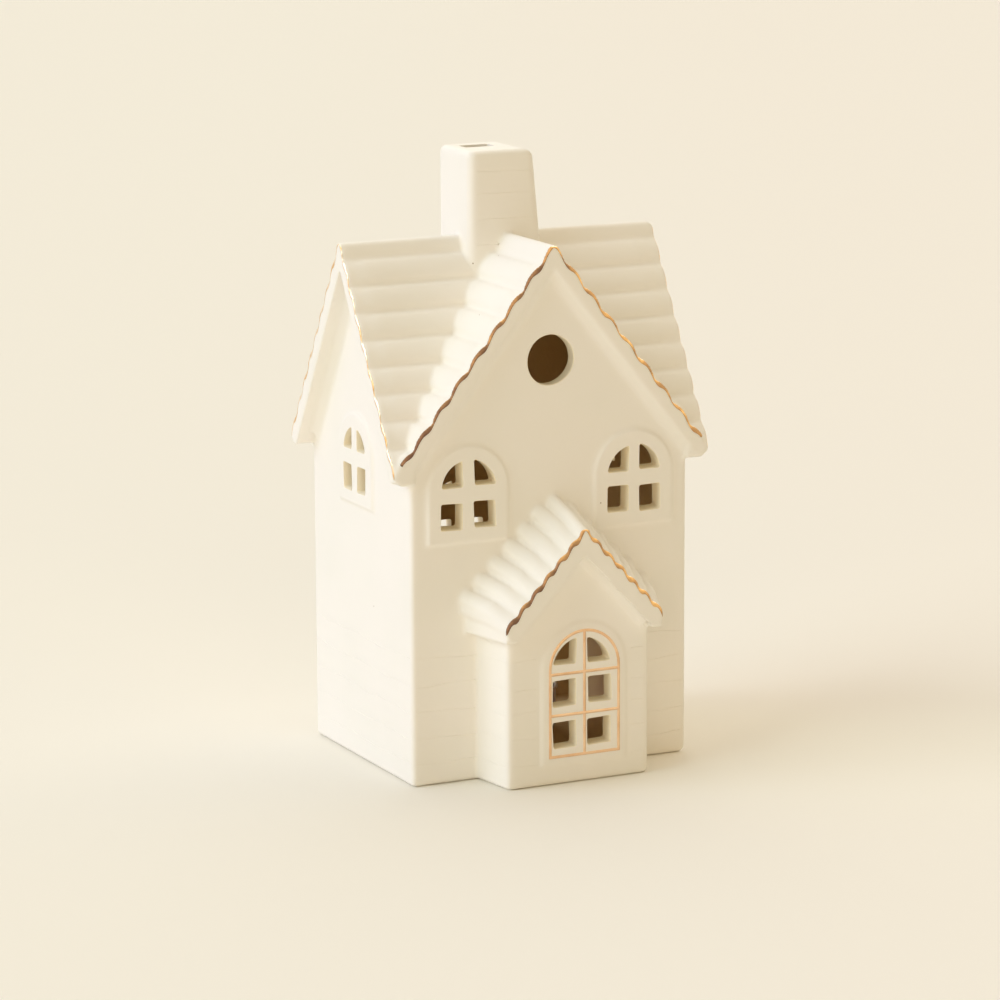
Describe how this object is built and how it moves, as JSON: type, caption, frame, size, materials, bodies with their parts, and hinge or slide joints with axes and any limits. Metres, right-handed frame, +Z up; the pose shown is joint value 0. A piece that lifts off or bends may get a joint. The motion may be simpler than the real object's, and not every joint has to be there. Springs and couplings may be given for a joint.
{
  "type": "tealight house",
  "caption": "Porcelain house lantern with crossing ribbed gable roofs, a chimney flue, a gabled porch, cut-out arched windows, gold rims and a tealight that slides out at the back.",
  "frame": {"origin": "middle of the walls' footprint, on the surface the house stands on", "axes": "+Z up, -Y towards the viewer through the porch, +Y out of the rear doorway, +X to the right as seen from the front"},
  "size_m": [0.1142, 0.1021, 0.2004],
  "materials": {
    "porcelain": "matt, warm white, softly rounded casting",
    "gold": "fired gold lustre, thin and slightly uneven",
    "cup": "bright pressed foil",
    "wax": "white paraffin wax",
    "wick": "waxed cotton",
    "sustainer": "tinned sheet"
  },
  "bodies": {
    "house": {"floor_slab": "porcelain", "front_wall": "porcelain", "back_wall": "porcelain", "left_wall": "porcelain", "right_wall": "porcelain", "front_left_window": "porcelain", "front_right_window": "porcelain", "left_window": "porcelain", "right_window": "porcelain", "back_window": "porcelain", "main_roof": "porcelain", "front_gable_roof": "porcelain", "chimney": "porcelain", "porch_walls": "porcelain", "porch_roof": "porcelain", "porch_window": "porcelain", "front_gable_gold": "gold", "left_gable_gold": "gold", "right_gable_gold": "gold", "porch_gable_gold": "gold", "porch_window_gold": "gold"},
    "tealight": {"tealight_cup": "cup"},
    "wax_puck": {"tealight_wax": "wax", "wick": "wick", "wick_sustainer": "sustainer"}
  },
  "joints": [
    {"name": "tealight_slide", "type": "slide", "parent": "house", "child": "tealight", "axis": [0, 1, 0], "range_m": [0, 0.07]},
    {"name": "wax_lift", "type": "slide", "parent": "tealight", "child": "wax_puck", "axis": [0, 0, 1], "range_m": [0, 0.016]}
  ]
}
